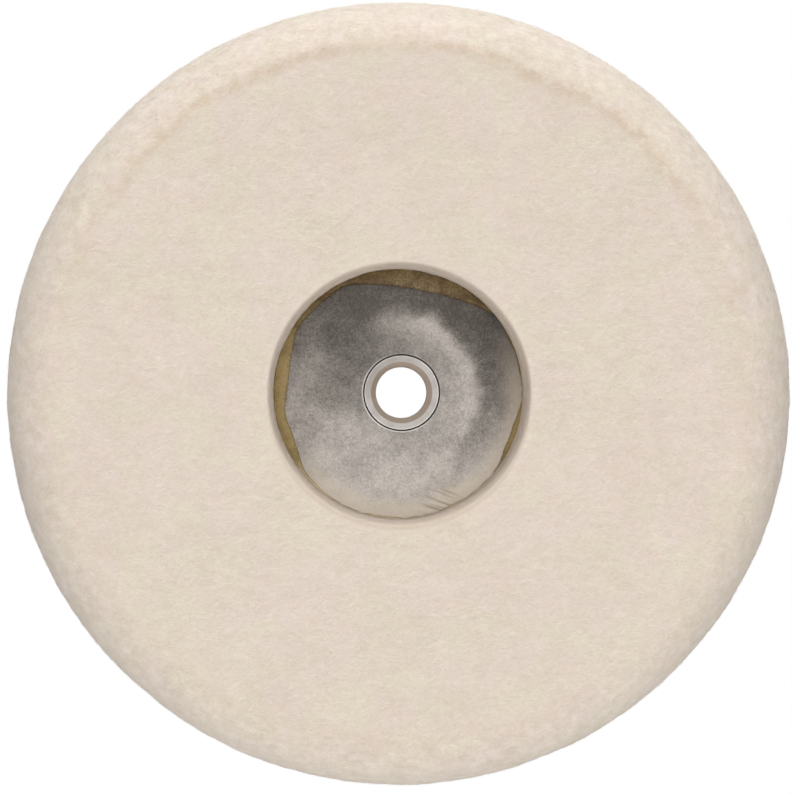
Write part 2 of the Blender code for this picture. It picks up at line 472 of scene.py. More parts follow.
plate = cross_section("steel_plate", hole_radius, plate_radius, plate_front_y, plate_back_y)
open_mesh(plate)
round_corner(plate_radius, plate_front_y, PLATE_EDGE, PLATE_EDGE, PLATE_SEGMENTS)
round_corner(plate_radius, plate_back_y, PLATE_EDGE, PLATE_EDGE, PLATE_SEGMENTS)
round_corner(hole_radius, plate_front_y, HOLE_EDGE, HOLE_EDGE, PLATE_SEGMENTS)
bpy.ops.mesh.select_all(action="SELECT")
bpy.ops.mesh.delete(type="ONLY_FACE")
divide_edges(lambda m, d: abs(d.x) > LONG_EDGE, PLATE_ROW)
spin_ring(plate, PLATE_STEPS)
displace(plate, "plate_dishing", 22 * MM, 0.06 * MM)
make_active(plate)
bpy.ops.object.shade_smooth_by_angle(angle=math.radians(40))
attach(plate, "root")
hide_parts("backing_plate")

# %% [markdown]
# ## The glue
#
# Contact glue was spread on the plate, and pressing the felt down squeezed some of it out
# into the recess, more at the top and on one side. The design has the outline of those
# lobes. A ring of glue is spun, and its inner edge is then pulled to that outline. The
# bead is thin at its toe and climbs a little up the felt's wall, as a wet fillet does.

# %% Read the outline of the squeezed-out glue
glue_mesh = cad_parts["adhesive_layer"].data
glue_edge = sorted(
    (math.atan2(p.co.z - felt_z, p.co.x - felt_x), from_felt_axis(p.co))
    for p in glue_mesh.vertices
    if from_felt_axis(p.co) < recess_radius + 2 * MM
)
glue_radius = max(from_felt_axis(p.co) for p in glue_mesh.vertices)
print("glue edge points:", len(glue_edge))
print("least radius of the glue:", round(min(r for _, r in glue_edge) / MM, 2))

# %% Helpers that soften and ripple that outline
SMOOTH_OVER = math.radians(5)
SMOOTH_STEPS = 4
RIPPLE = 0.22 * MM
RIPPLES_ROUND = 8
FINE_RIPPLE = 0.10 * MM
FINE_RIPPLES_ROUND = 34
THIN_LINE = 0.16 * MM


def designed_reach(turn):
    """Radius at which the design's glue ends, in a direction round the felt's axis."""
    turn = (turn + math.pi) % math.tau - math.pi
    after = next((i for i, (at, _) in enumerate(glue_edge) if at > turn), 0)
    return glue_edge[after][1]


def glue_reach(turn):
    """The same radius, with its corners softened and its edge rippled."""
    steps = range(-SMOOTH_STEPS, SMOOTH_STEPS + 1)
    around = [designed_reach(turn + SMOOTH_OVER * step / SMOOTH_STEPS) for step in steps]
    heading = Vector((math.cos(turn), math.sin(turn), 0))
    ripple = RIPPLE * noise.noise(heading * RIPPLES_ROUND)
    ripple += FINE_RIPPLE * noise.noise(heading * FINE_RIPPLES_ROUND)
    thin = recess_radius - THIN_LINE - 2 * ripple
    return min(sum(around) / len(around) + ripple, thin)


print("reach at the top:", round(glue_reach(math.pi / 2) / MM, 2))

# %% Spin a narrow ring of glue and widen it under the felt
CLEAR = 0.02 * MM
BEAD_WIDTH = 6 * MM
UNDER_FELT = 2.5 * MM
BEAD_ROW = 0.3 * MM
GLUE_STEPS = 600

bead_start = recess_radius - BEAD_WIDTH
bead_end = recess_radius + UNDER_FELT
glue_back = plate_front_y - CLEAR
glue_front = felt_back_y + CLEAR
glue = cross_section("squeezed_glue", bead_start, bead_end, glue_front, glue_back)
open_mesh(glue)
bpy.ops.mesh.select_all(action="SELECT")
bpy.ops.mesh.delete(type="ONLY_FACE")
divide_edges(lambda m, d: abs(d.x) > LONG_EDGE, BEAD_ROW)
spin_ring(glue, GLUE_STEPS)
open_mesh(glue)
pick_points(lambda p: math.hypot(p.x, p.z) > bead_end - HAIR)
wide = glue_radius / bead_end
bpy.ops.transform.resize(value=(wide, 1, wide), center_override=(0, 0, 0))
bpy.ops.object.mode_set(mode="OBJECT")
glue.location = (felt_x, 0, felt_z)
settle(glue)

# %% Pull the ring's inner edge to the outline, and give the bead its height
TOE_HEIGHT = 0.12 * MM
BEAD_HEIGHT = 0.38 * MM
FILLET_HEIGHT = 1.3 * MM
FULL_REACH = 3 * MM

reach_at = {}
for point in glue.data.vertices:
    radius = from_felt_axis(point.co)
    if radius > bead_end - HAIR:
        continue
    turn = math.atan2(point.co.z - felt_z, point.co.x - felt_x)
    key = round(turn, 4)
    if key not in reach_at:
        reach_at[key] = glue_reach(turn)
    edge = reach_at[key]
    share = (radius - bead_start) / (bead_end - bead_start)
    new_radius = edge + (bead_end - edge) * share
    in_open = recess_radius - new_radius
    front = point.co.y < (glue_front + glue_back) / 2
    if front and in_open > CLEAR:
        reach = recess_radius - edge
        across = in_open / reach
        height = TOE_HEIGHT + (BEAD_HEIGHT - TOE_HEIGHT) * (1 - across**4)
        height += FILLET_HEIGHT * (1 - across) ** 3 * smooth_step(reach, 0, FULL_REACH)
        point.co.y = plate_front_y - height
    point.co.x = felt_x + new_radius * math.cos(turn)
    point.co.z = felt_z + new_radius * math.sin(turn)
displace(glue, "glue_ripples", 1.2 * MM, 0.06 * MM)
make_active(glue)
bpy.ops.object.shade_smooth_by_angle(angle=math.radians(50))
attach(glue, "root")
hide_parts("adhesive_layer")

# %% [markdown]
# ## The hub
#
# The hub is turned from steel bar: a spigot that fills the plate's hole, a flange behind
# the plate, and a boss with two flats for a spanner. It starts as a cylinder of the
# spigot's size. Its rear face is extruded and scaled outwards for the flange, and inwards
# again for the boss. Both ends are countersunk, and the two holes are bridged.

# %% Sizes of the hub, read from the design
FRONT_LAND = 0.09 * MM

hub_points = ring_points("threaded_hub")
bore_radius = min(r for r, y in hub_points)
flange_radius = max(r for r, y in hub_points)
seat_y = max(y for r, y in hub_points)
spigot_front_y = min(y for r, y in hub_points)
spigot_radius = max(r for r, y in hub_points if y < plate_front_y)
boss_radius = max(r for r, y in hub_points if y > seat_y - 2 * MM)
flange_front_y = min(y for r, y in hub_points if r > spigot_radius + HAIR)
flange_back_y = max(y for r, y in hub_points if r > boss_radius + HAIR)
front_sink = spigot_radius - FRONT_LAND
rear_sink = min(r for r, y in hub_points if y > seat_y - HAIR)
hub_radii = (bore_radius, spigot_radius, boss_radius, flange_radius)
hub_places = (spigot_front_y, flange_front_y, flange_back_y, seat_y)
print("radii of bore, spigot, boss, flange:", [round(r / MM, 2) for r in hub_radii])
print("places from front to seat:", [round(y / MM, 2) for y in hub_places])

# %% Helpers that extrude the hub's steps
HUB_SIDES = 144
SINK_SLOPE = 1 / math.tan(math.radians(60))
FACES_AXIS = 0.9


def grow(radius, old_radius):
    """Extrudes the selected face in place and scales the new one about the axis."""
    scale = radius / old_radius
    bpy.ops.mesh.extrude_region_move(TRANSFORM_OT_translate={"value": (0, 0, 0)})
    bpy.ops.transform.resize(value=(scale, 1, scale), center_override=(0, 0, 0))


def push(distance):
    """Extrudes the selected face along the axis."""
    bpy.ops.mesh.extrude_region_move(TRANSFORM_OT_translate={"value": (0, distance, 0)})


# %% A cylinder, extruded and scaled into a stepped hub
deselect_all()
bpy.ops.mesh.primitive_cylinder_add(
    vertices=HUB_SIDES,
    radius=spigot_radius,
    depth=flange_front_y - spigot_front_y,
    location=(0, (flange_front_y + spigot_front_y) / 2, 0),
    rotation=(math.pi / 2, 0, 0),
)
hub = name_piece(bpy.context.object, "turned_hub")
settle(hub)
open_mesh(hub)
pick_faces(lambda m, n: n.y > FACES_AXIS)
grow(flange_radius, spigot_radius)
push(flange_back_y - flange_front_y)
grow(boss_radius, flange_radius)
push(seat_y - flange_back_y)
grow(rear_sink, boss_radius)
grow(bore_radius, rear_sink)
bpy.ops.transform.translate(value=(0, -(rear_sink - bore_radius) * SINK_SLOPE, 0))
bpy.ops.mesh.delete(type="FACE")
pick_faces(lambda m, n: n.y < -FACES_AXIS and m.y < spigot_front_y + HAIR)
grow(front_sink, spigot_radius)
grow(bore_radius, front_sink)
bpy.ops.transform.translate(value=(0, (front_sink - bore_radius) * SINK_SLOPE, 0))
bpy.ops.mesh.delete(type="FACE")
pick_points(lambda p: math.hypot(p.x, p.z) < bore_radius + HAIR)
bpy.ops.mesh.bridge_edge_loops()
print("hub triangles:", sum(len(f.verts) - 2 for f in bmesh.from_edit_mesh(hub.data).faces))

# %% Break the hub's sharp outer edges
HUB_CHAMFER = 0.5 * MM
SPIGOT_ROUND = 0.05 * MM
ONE_SIDE_AT_MOST = 1.5


def on_ring(middle, direction, radius, y):
    """True for an edge that runs round the axis at this radius and place."""
    one_side = radius * math.tau / HUB_SIDES
    runs_round = abs(direction.y) < HAIR and direction.length < one_side * ONE_SIDE_AT_MOST
    at_radius = abs(math.hypot(middle.x, middle.z) - radius) < HAIR
    return runs_round and at_radius and abs(middle.y - y) < HAIR


pick_edges(
    lambda m, d: on_ring(m, d, flange_radius, flange_front_y)
    or on_ring(m, d, flange_radius, flange_back_y)
    or on_ring(m, d, boss_radius, seat_y)
)
bpy.ops.mesh.bevel(offset=HUB_CHAMFER, segments=2, profile=0.5)
pick_edges(lambda m, d: on_ring(m, d, spigot_radius, spigot_front_y))
bpy.ops.mesh.bevel(offset=SPIGOT_ROUND, segments=4, profile=0.5)
bpy.ops.mesh.select_all(action="SELECT")
bpy.ops.mesh.normals_make_consistent(inside=False)
bpy.ops.object.mode_set(mode="OBJECT")
print("hub triangles before cutting:", triangle_count(hub))

# %% [markdown]
# ### Spanner flats and thread
#
# Both are cuts. The flats are two blocks taken off the boss. The thread is a groove that
# winds up the bore: its trapezium is swept by a Screw modifier, two millimetres for each
# turn, and the swept solid is taken out of the hub.

# %% Helpers for cutting, and the two spanner flats
FLAT_DEPTH = 1.5 * MM
FLAT_LENGTH = 7 * MM


def take_out(piece, cutter):
    """Cuts the cutter's shape out of the piece, and removes the cutter."""
    modifier = piece.modifiers.new("cut", "BOOLEAN")
    modifier.operation = "DIFFERENCE"
    modifier.solver = "MANIFOLD"
    modifier.object = cutter
    make_active(piece)
    bpy.ops.object.modifier_apply(modifier="cut")
    bpy.data.objects.remove(cutter)


for side in (-1, 1):
    block = 2 * boss_radius
    deselect_all()
    middle_x = side * (boss_radius - FLAT_DEPTH + block / 2)
    middle_y = seat_y - FLAT_LENGTH + block / 2
    bpy.ops.mesh.primitive_cube_add(size=block, location=(middle_x, middle_y, 0))
    block_piece = bpy.context.object
    block_piece.scale = (1, 1, 2)
    settle(block_piece)
    take_out(hub, block_piece)
print("hub triangles with flats:", triangle_count(hub))

# %% The thread's groove, as a flat trapezium
THREAD_PITCH = 2 * MM
THREAD_ROOT_RADIUS = 7 * MM
THREAD_START = math.radians(-51)
GROOVE_STEPS = 96

flank_slope = math.tan(math.radians(30))
root_width = THREAD_PITCH / 8
groove_inner = bore_radius - 0.3 * MM
mouth_width = root_width + 2 * (THREAD_ROOT_RADIUS - groove_inner) * flank_slope
run_out = 2 * THREAD_PITCH
start_y = spigot_front_y - run_out
turns = math.ceil((seat_y - spigot_front_y + 2 * run_out) / THREAD_PITCH)

groove_front = start_y - mouth_width / 2
groove_back = start_y + mouth_width / 2
groove = cross_section("groove", groove_inner, THREAD_ROOT_RADIUS, groove_front, groove_back)
open_mesh(groove)
pick_points(lambda p: p.x > THREAD_ROOT_RADIUS - HAIR)
narrowing = root_width / mouth_width
bpy.ops.transform.resize(value=(1, narrowing, 1), center_override=(0, start_y, 0))
bpy.ops.mesh.select_all(action="SELECT")
bpy.ops.mesh.delete(type="ONLY_FACE")
bpy.ops.object.mode_set(mode="OBJECT")
print("groove's mouth and root in mm:", round(mouth_width / MM, 2), round(root_width / MM, 2))

# %% Sweep the groove, close its ends and cut it
sweep = groove.modifiers.new("sweep", "SCREW")
sweep.axis = "Y"
sweep.angle = math.tau
sweep.screw_offset = THREAD_PITCH
sweep.iterations = turns
sweep.steps = GROOVE_STEPS
sweep.render_steps = GROOVE_STEPS
make_active(groove)
bpy.ops.object.modifier_apply(modifier="sweep")
groove.rotation_euler.y = THREAD_START
settle(groove)
open_mesh(groove)
bpy.ops.mesh.select_all(action="DESELECT")
bpy.ops.mesh.select_non_manifold()
bpy.ops.mesh.edge_face_add()
bpy.ops.mesh.select_all(action="SELECT")
bpy.ops.mesh.normals_make_consistent(inside=False)
bpy.ops.object.mode_set(mode="OBJECT")
print("groove triangles:", triangle_count(groove), "turns:", turns)
take_out(hub, groove)
make_active(hub)
bpy.ops.object.shade_smooth_by_angle(angle=math.radians(25))
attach(hub, "root")
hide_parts("threaded_hub")
print("hub triangles with thread:", triangle_count(hub))

# %% [markdown]
# ## Materials
#
# Each finish is built from nodes that read object coordinates, so that it stays on its
# piece from any side. Patterns that more than one finish uses are node groups: wool grain,
# cloudy patches and turning marks.

# %% Helpers that add nodes and join them
def add_node(tree, kind, inputs=None, **settings):
    """One node, with its settings, and its sockets set to values or joined to others."""
    made = tree.nodes.new(kind)
    for key, value in settings.items():
        setattr(made, key, value)
    for key, value in (inputs or {}).items():
        if isinstance(value, bpy.types.NodeSocket):
            tree.links.new(value, made.inputs[key])
        else:
            made.inputs[key].default_value = value
    return made


def maths(tree, operation, a, b=0.0, c=0.0, clamp=False):
    """The result of one sum on two values, or on three for MULTIPLY_ADD."""
    inputs = {0: a, 1: b, 2: c}
    return add_node(tree, "ShaderNodeMath", inputs, operation=operation, use_clamp=clamp).outputs[0]


def vector_maths(tree, operation, a, b):
    """The result of one sum on two vectors."""
    return add_node(tree, "ShaderNodeVectorMath", {0: a, 1: b}, operation=operation).outputs[0]


def remap(tree, value, low, high, new_low=0.0, new_high=1.0, smooth=True):
    """A value moved from one range to another, and kept inside it."""
    kind = "SMOOTHSTEP" if smooth else "LINEAR"
    inputs = {
        "Value": value,
        "From Min": low,
        "From Max": high,
        "To Min": new_low,
        "To Max": new_high,
    }
    return add_node(tree, "ShaderNodeMapRange", inputs, interpolation_type=kind).outputs["Result"]


def cloud(tree, place, size, detail=2.0, roughness=0.5, distortion=0.0):
    """Soft noise between 0 and 1, whose lumps are about this size in metres."""
    inputs = {
        "Vector": place,
        "Scale": 1 / size,
        "Detail": detail,
        "Roughness": roughness,
        "Distortion": distortion,
    }
    return add_node(tree, "ShaderNodeTexNoise", inputs).outputs["Fac"]


def blend_colours(tree, share, first, second):
    """Two colours mixed by a share between 0 and 1."""
    made = add_node(tree, "ShaderNodeMix", data_type="RGBA", blend_type="MIX")
    for index, value in ((0, share), (6, first), (7, second)):
        if isinstance(value, bpy.types.NodeSocket):
            tree.links.new(value, made.inputs[index])
        else:
            made.inputs[index].default_value = value
    return made.outputs[2]


def new_group(name, inputs, outputs):
    """An empty node group: inputs as (name, kind, default), outputs as (name, kind)."""
    tree = bpy.data.node_groups.new(name, "ShaderNodeTree")
    for label, kind, default in inputs:
        socket = tree.interface.new_socket(label, in_out="INPUT", socket_type=kind)
        if default is not None:
            socket.default_value = default
    for label, kind in outputs:
        tree.interface.new_socket(label, in_out="OUTPUT", socket_type=kind)
    return tree, tree.nodes.new("NodeGroupInput").outputs, tree.nodes.new("NodeGroupOutput").inputs


def use_group(tree, group, inputs):
    """One use of a node group, with its own values."""
    return add_node(tree, "ShaderNodeGroup", inputs, node_tree=group).outputs


def new_finish(name, pieces, **constants):
    """A material on some pieces, with the shader's own sockets set. Returns its tree."""
    finish = bpy.data.materials.new(name)
    finish.use_nodes = True
    shader = finish.node_tree.nodes["Principled BSDF"]
    for socket, value in constants.items():
        shader.inputs[socket.replace("_", " ")].default_value = value
    for piece in pieces:
        piece.data.materials.clear()
        piece.data.materials.append(finish)
    place = add_node(finish.node_tree, "ShaderNodeTexCoord").outputs["Object"]
    return finish.node_tree, shader.inputs, place


FLOAT = "NodeSocketFloat"
VECTOR = "NodeSocketVector"


# %% Helpers that read a place on the wheel
LEVEL = (1, 0, 1)


def pick_axis(tree, place, axis):
    """One of a place's three numbers."""
    return add_node(tree, "ShaderNodeSeparateXYZ", {0: place}).outputs[axis]


def from_axis(tree, place):
    """Distance from the wheel's own axis."""
    flat = vector_maths(tree, "MULTIPLY", place, LEVEL)
    return add_node(tree, "ShaderNodeVectorMath", {0: flat}, operation="LENGTH").outputs["Value"]


def felt_distance(tree, place):
    """Distance from the felt's axis, and the place relative to its centre."""
    centred = vector_maths(tree, "SUBTRACT", place, (felt_x, 0, felt_z))
    return from_axis(tree, centred), centred


def away_from(tree, place, x, z):
    """Distance on the plate's front from a point."""
    inputs = {0: place, 1: (x, plate_front_y, z)}
    return add_node(tree, "ShaderNodeVectorMath", inputs, operation="DISTANCE").outputs["Value"]


def leaning_height(tree, place, degrees):
    """How far a place is along a direction in the plate, counted from its right."""
    lean = math.radians(degrees)
    inputs = {0: place, 1: (math.cos(lean), 0, math.sin(lean))}
    return add_node(tree, "ShaderNodeVectorMath", inputs, operation="DOT_PRODUCT").outputs["Value"]


def turn_round(tree, place, degrees):
    """A place turned about the wheel's axis."""
    inputs = {"Vector": place, "Axis": (0, 1, 0), "Angle": math.radians(degrees)}
    return add_node(tree, "ShaderNodeVectorRotate", inputs, rotation_type="AXIS_ANGLE").outputs[0]


# %% Helpers for masks and relief
NOISE_LOW = 0.35
NOISE_HIGH = 0.65


def vary(tree, noise_value, low, high):
    """Noise spread over a range, from its darkest lumps to its brightest."""
    return remap(tree, noise_value, NOISE_LOW, NOISE_HIGH, low, high)


def band(tree, value, start, full, fade, end):
    """A mask that is 1 between two values and fades out on both sides."""
    rise = remap(tree, value, start, full)
    fall = remap(tree, value, fade, end, 1.0, 0.0)
    return maths(tree, "MULTIPLY", rise, fall)


def put_relief(tree, shader, relief, depth, strength):
    """A fine relief on the finish, this deep in metres."""
    inputs = {"Height": relief, "Distance": depth, "Strength": strength}
    bump = add_node(tree, "ShaderNodeBump", inputs)
    tree.links.new(bump.outputs[0], shader["Normal"])


# %% [markdown]
# ### Wool grain, as a group
#
# Felt has no weave. Its grain is a tangle of short streaks. Noise that is squeezed in one
# direction gives streaks, and the brightest of three such noises, each turned another way,
# gives a tangle. Carding laid most of the wool one way, so none of the three is steep.

# %% Build the wool grain group
GRAIN_TURNS = (4, -21, 38)
TANGLE = {"Detail": 2.0, "Roughness": 0.6, "Distortion": 1.4}


def build_wool_grain():
    tree, given, result = new_group(
        "wool_grain",
        [("Place", VECTOR, None), ("Size", FLOAT, 0.7 * MM), ("Stretch", FLOAT, 5.0)],
        [("Grain", FLOAT)],
    )
    scale = maths(tree, "DIVIDE", 1.0, given["Size"])
    along = maths(tree, "DIVIDE", 1.0, given["Stretch"])
    squeeze = add_node(tree, "ShaderNodeCombineXYZ", {"X": along, "Y": 1.0, "Z": 1.0}).outputs[0]
    tangle = None
    for turn in GRAIN_TURNS:
        turned = turn_round(tree, given["Place"], turn)
        streaks_at = vector_maths(tree, "MULTIPLY", turned, squeeze)
        inputs = {"Vector": streaks_at, "Scale": scale, **TANGLE}
        streaks = add_node(tree, "ShaderNodeTexNoise", inputs).outputs["Fac"]
        tangle = streaks if tangle is None else maths(tree, "MAXIMUM", tangle, streaks)
    tree.links.new(remap(tree, tangle, 0.42, 0.78, smooth=False), result["Grain"])
    return tree


wool_grain = build_wool_grain()
print("group made:", wool_grain.name, "with", len(wool_grain.nodes), "nodes")

# %% [markdown]
# ### The felt's colour
#
# The wool is a warm off-white with faint pinker and yellower patches, and some light soaks
# into it, which softens its shadows. The rasped edge has small pits, made darker as painted
# shade, and a brown band lies where the face meets it, more at the top. The lip of the
# recess is darkened with painted shade, and the wall deeper in is lightened with painted
# light. The grain drives both the colour and the bump.

# %% Colours of the felt
WOOL = (0.848, 0.765, 0.678, 1)
WOOL_SHADE = (0.650, 0.545, 0.440, 1)
WOOL_PINK = (0.866, 0.755, 0.692, 1)
WOOL_YELLOW = (0.848, 0.780, 0.648, 1)
WOOL_SHOULDER_BROWN = (0.600, 0.440, 0.290, 1)
# Painted light and shade of the recess: a lighter deep wall and a darker lip.
WOOL_WALL_PAINTED_LIGHT = (0.930, 0.800, 0.670, 1)
WOOL_LIP_PAINTED_SHADE = (0.680, 0.570, 0.475, 1)
TINT_SHARE = 0.7
GRAIN_LOW = 0.05
GRAIN_HIGH = 0.85
GRAIN_SHADE = 0.52
COARSE_SHADE = 0.15
PATCH_SHADE = 0.08
PIT_PAINTED_SHADE = 0.22
FLECK_LIGHT = 0.18


def wool_shade(tree, grain, coarse, patches, pits, flecks):
    """How dark the wool is, between 0 and 1."""
    shade = remap(tree, grain, GRAIN_LOW, GRAIN_HIGH, GRAIN_SHADE, 0.0, smooth=False)
    coarse_shade = remap(tree, coarse, GRAIN_LOW, GRAIN_HIGH, COARSE_SHADE, 0.0, smooth=False)
    shade = maths(tree, "ADD", shade, coarse_shade)
    shade = maths(tree, "ADD", shade, remap(tree, patches, 0.35, 0.70, 0.0, PATCH_SHADE))
    # Painted shade: the pits that the bump pushes in are made darker.
    shade = maths(tree, "MULTIPLY_ADD", pits, PIT_PAINTED_SHADE, shade)
    return maths(tree, "SUBTRACT", shade, maths(tree, "MULTIPLY", flecks, FLECK_LIGHT), clamp=True)


# %% Masks of the felt's shoulder and recess
SHOULDER_BAND_STARTS = flat_radius - 2.5 * MM
SHOULDER_BAND_FULL = flat_radius + 0.3 * MM
SHOULDER_BAND_FADES = flat_radius + 0.8 * MM
SHOULDER_BAND_ENDS = flat_radius + 3 * MM
LIP_INSIDE = recess_radius + 0.6 * MM
LIP_OUTSIDE = recess_radius + 1.5 * MM
LOWER_LIP_WIDER = 0.9 * MM


def shoulder_brown_band(tree, ragged, height, blotches):
    """The brown line where the face meets the rasped edge, stronger at the top."""
    line = band(tree, ragged, SHOULDER_BAND_STARTS, SHOULDER_BAND_FULL, SHOULDER_BAND_FADES, SHOULDER_BAND_ENDS)
    brown_share = maths(tree, "MULTIPLY", line, remap(tree, height, 10 * MM, 70 * MM, 0.25, 1.0))
    return maths(tree, "MULTIPLY", brown_share, remap(tree, blotches, 0.36, 0.66, 0.10, 0.42))


def recess_light_and_shade_mask(tree, distance, height):
    """Where painted shade on the lip and painted light on the wall show. The lip is wider below."""
    wider = remap(tree, height, -2 * MM, -22 * MM, 0.0, LOWER_LIP_WIDER, smooth=False)
    from_wall = maths(tree, "SUBTRACT", distance, wider)
    return remap(tree, from_wall, LIP_INSIDE, LIP_OUTSIDE, 0.85, 0.0)


# %% Material of the felt
RAGGED = 5 * MM


def felt_finish():
    tree, shader, place = new_finish(
        "wool_felt",
        [felt],
        Roughness=0.92,
        Sheen_Weight=0.2,
        Sheen_Roughness=0.6,
        Sheen_Tint=(1.0, 0.93, 0.84, 1),
        Subsurface_Weight=0.5,
        Subsurface_Radius=(1.0, 0.85, 0.7),
        Subsurface_Scale=4 * MM,
    )
    distance, centred = felt_distance(tree, place)
    height = pick_axis(tree, centred, "Z")
    fine_wool = {"Place": place, "Size": 0.55 * MM, "Stretch": 3.6}
    coarse_wool = {"Place": place, "Size": 2.4 * MM, "Stretch": 3.0}
    grain = use_group(tree, wool_grain, fine_wool)["Grain"]
    coarse = use_group(tree, wool_grain, coarse_wool)["Grain"]
    patches = cloud(tree, place, 15 * MM, detail=3.0)
    hues = cloud(tree, place, 9 * MM, detail=2.0, distortion=0.5)
    blotches = cloud(tree, place, 2.6 * MM, detail=3.0, roughness=0.6)

    ragged = maths(tree, "MULTIPLY_ADD", patches, RAGGED, distance)
    ragged = maths(tree, "SUBTRACT", ragged, RAGGED / 2)
    on_edge = remap(tree, ragged, flat_radius - 1 * MM, flat_radius + 4 * MM)
    pits = maths(tree, "MULTIPLY", remap(tree, blotches, 0.46, 0.70), on_edge)
    flecks = maths(tree, "MULTIPLY", remap(tree, blotches, 0.50, 0.34), on_edge)

    tint = blend_colours(tree, vary(tree, hues, 0.0, 1.0), WOOL_PINK, WOOL_YELLOW)
    colour = blend_colours(tree, TINT_SHARE, WOOL, tint)
    shade = wool_shade(tree, grain, coarse, patches, pits, flecks)
    colour = blend_colours(tree, shade, colour, WOOL_SHADE)
    colour = blend_colours(tree, shoulder_brown_band(tree, ragged, height, blotches), colour, WOOL_SHOULDER_BROWN)
    deep = remap(tree, pick_axis(tree, place, "Y"), face_y + 1.5 * MM, face_y + 7 * MM)
    # Painted light and shade in the recess: the lip darker, the wall deeper in lighter.
    wall = blend_colours(tree, deep, WOOL_LIP_PAINTED_SHADE, WOOL_WALL_PAINTED_LIGHT)
    colour = blend_colours(tree, recess_light_and_shade_mask(tree, distance, height), colour, wall)
    tree.links.new(colour, shader["Base Color"])

    relief = maths(tree, "MULTIPLY_ADD", coarse, 0.8, grain)
    relief = maths(tree, "MULTIPLY_ADD", pits, -0.8, relief)
    put_relief(tree, shader, relief, 0.10 * MM, 0.8)


felt_finish()


# %% Material of the loose fibres
FIBRE_LIGHT = (0.85, 0.765, 0.665, 1)
FIBRE_DARK = (0.78, 0.68, 0.56, 1)


def fibre_finish():
    fibres = [face_fibres, edge_fibres, recess_fibres]
    tree, shader, place = new_finish("wool_fibre", fibres, Roughness=0.8, Sheen_Weight=0.3)
    tone = vary(tree, cloud(tree, place, 1.6 * MM, detail=1.0), 0.0, 1.0)
    tree.links.new(blend_colours(tree, tone, FIBRE_LIGHT, FIBRE_DARK), shader["Base Color"])


fibre_finish()
print("felt finishes:", [m.name for m in bpy.data.materials if m.name.startswith("wool")])

# %% [markdown]
# ### Steel
#
# The plate has a cloudy grey tarnish with a fine salt-and-pepper grain. With painted shade
# it is darkest above the hub and to its upper right, and a painted reflection makes a paler
# patch and arc round the hub. The lower half is paler, also as painted light. The hub is
# bright where the lathe last cut it. Turning marks are rings round the axis, so they come
# from noise that reads only the distance from it and the place along it.

# %% Build the turning marks and the cloudy grain groups
def build_turning_marks():
    tree, given, result = new_group(
        "turning_marks",
        [("Place", VECTOR, None), ("Spacing", FLOAT, 0.15 * MM)],
        [("Mark", FLOAT)],
    )
    distance = from_axis(tree, given["Place"])
    depth = pick_axis(tree, given["Place"], "Y")
    rings = add_node(tree, "ShaderNodeCombineXYZ", {"X": distance, "Y": depth, "Z": 0.0}).outputs[0]
    scale = maths(tree, "DIVIDE", 1.0, given["Spacing"])
    inputs = {"Vector": rings, "Scale": scale, "Detail": 2.0, "Roughness": 0.6}
    marks = add_node(tree, "ShaderNodeTexNoise", inputs).outputs["Fac"]
    tree.links.new(marks, result["Mark"])
    return tree


def build_cloudy_grain():
    tree, given, result = new_group(
        "cloudy_grain",
        [("Place", VECTOR, None), ("Cloud Size", FLOAT, 7 * MM), ("Grain Size", FLOAT, 0.5 * MM)],
        [("Cloud", FLOAT), ("Grain", FLOAT)],
    )
    for label, detail, roughness in (("Cloud", 4.0, 0.55), ("Grain", 3.0, 0.7)):
        scale = maths(tree, "DIVIDE", 1.0, given[label + " Size"])
        inputs = {
            "Vector": given["Place"],
            "Scale": scale,
            "Detail": detail,
            "Roughness": roughness,
        }
        made = add_node(tree, "ShaderNodeTexNoise", inputs).outputs["Fac"]
        tree.links.new(made, result[label])
    return tree


turning_marks = build_turning_marks()
cloudy_grain = build_cloudy_grain()
print("groups made:", turning_marks.name, "and", cloudy_grain.name)


def cloudy(tree, place, cloud_size, grain_size):
    """The cloudy grain at these sizes: its outputs are Cloud and Grain."""
    inputs = {"Place": place, "Cloud Size": cloud_size, "Grain Size": grain_size}
    return use_group(tree, cloudy_grain, inputs)


# %% Colours of the plate, its dark tarnish and its painted shade and light
STEEL_PALE = (0.362, 0.334, 0.303, 1)
STEEL_DARK = (0.095, 0.084, 0.076, 1)
STEEL_BRIGHT = (0.72, 0.69, 0.66, 1)
BROWN = (0.16, 0.115, 0.075, 1)
STEEL_PAINTED_LIGHT = (0.62, 0.54, 0.44, 1)
JOINT_DARK = (0.07, 0.063, 0.056, 1)


def tarnish_shade_and_reflection_mask(tree, place, wander):
    """Dark tarnish above the hub with painted shade, and a painted reflection round it: 0 where the
    steel is palest, 1 where it is darkest.
    """
    # Painted shade: darker towards the top, over the tarnish.
    height = maths(tree, "MULTIPLY_ADD", wander, 0.55, leaning_height(tree, place, 80))
    dark_above = remap(tree, height, -24 * MM, 20 * MM, 0.16, 0.90)
    # Painted reflection: a paler patch round the hub, to its right, with a brighter arc.
    kept = maths(tree, "MULTIPLY_ADD", wander, 0.25, away_from(tree, place, 0.5 * MM, 0.5 * MM))
    reflection_patch = remap(tree, kept, 15.5 * MM, 20 * MM, 1.0, 0.0)
    rightwards = maths(tree, "MULTIPLY_ADD", wander, 0.4, leaning_height(tree, place, 30))
    reflection_patch = maths(tree, "MULTIPLY", reflection_patch, remap(tree, rightwards, -6 * MM, 14 * MM))
    reflection_arc = band(tree, kept, 11.5 * MM, 15 * MM, 16 * MM, 19 * MM)
    painted_reflection = maths(tree, "MULTIPLY_ADD", reflection_arc, 0.19, 0.48)
    painted_reflection = maths(tree, "MULTIPLY", reflection_patch, painted_reflection)
    return maths(tree, "MULTIPLY", dark_above, maths(tree, "SUBTRACT", 1.0, painted_reflection))


# %% How dark the plate is
SMUDGE_X = -15 * MM
BACK_TARNISH = 0.20


